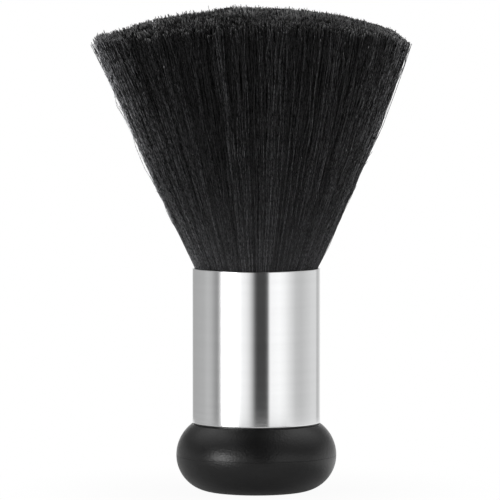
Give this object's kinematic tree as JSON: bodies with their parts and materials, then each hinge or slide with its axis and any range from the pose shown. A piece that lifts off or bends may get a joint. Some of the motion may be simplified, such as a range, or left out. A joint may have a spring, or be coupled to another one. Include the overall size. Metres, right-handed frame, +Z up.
{
  "type": "neck duster brush",
  "caption": "Free-standing barber's neck duster: wide domed head of black bristles in a satin aluminium ferrule that is the grip, on a round weighted plastic base.",
  "frame": {"origin": "middle of the foot, on the surface that the brush stands on", "axes": "+Z up along the handle, X along the width of the head, -Y towards the front"},
  "size_m": [0.1117, 0.0713, 0.17],
  "materials": {
    "bristle": "black nylon fibre, cut ends",
    "ferrule_aluminium": "satin, polished end bevels",
    "base_plastic": "satin moulded black",
    "pad_rubber": "matte, non-slip",
    "weight_steel": "turned",
    "screw_steel": "zinc plated",
    "cup_plastic": "natural moulded",
    "resin": "cured",
    "tie_cord": "waxed cord"
  },
  "bodies": {
    "root": {"foot_pad": "pad_rubber", "base_lower": "base_plastic", "base_upper": "base_plastic", "base_weight": "weight_steel", "base_screw": "screw_steel", "screw_washer": "screw_steel", "ferrule": "ferrule_aluminium", "root_cup": "cup_plastic", "root_resin": "resin", "bundle_tie": "tie_cord", "bristle_hank_core": "bristle", "bristle_hank_1": "bristle", "bristle_hank_2": "bristle", "bristle_hank_3": "bristle", "bristle_hank_4": "bristle", "bristle_hank_5": "bristle", "bristle_hank_6": "bristle"}
  },
  "joints": []
}
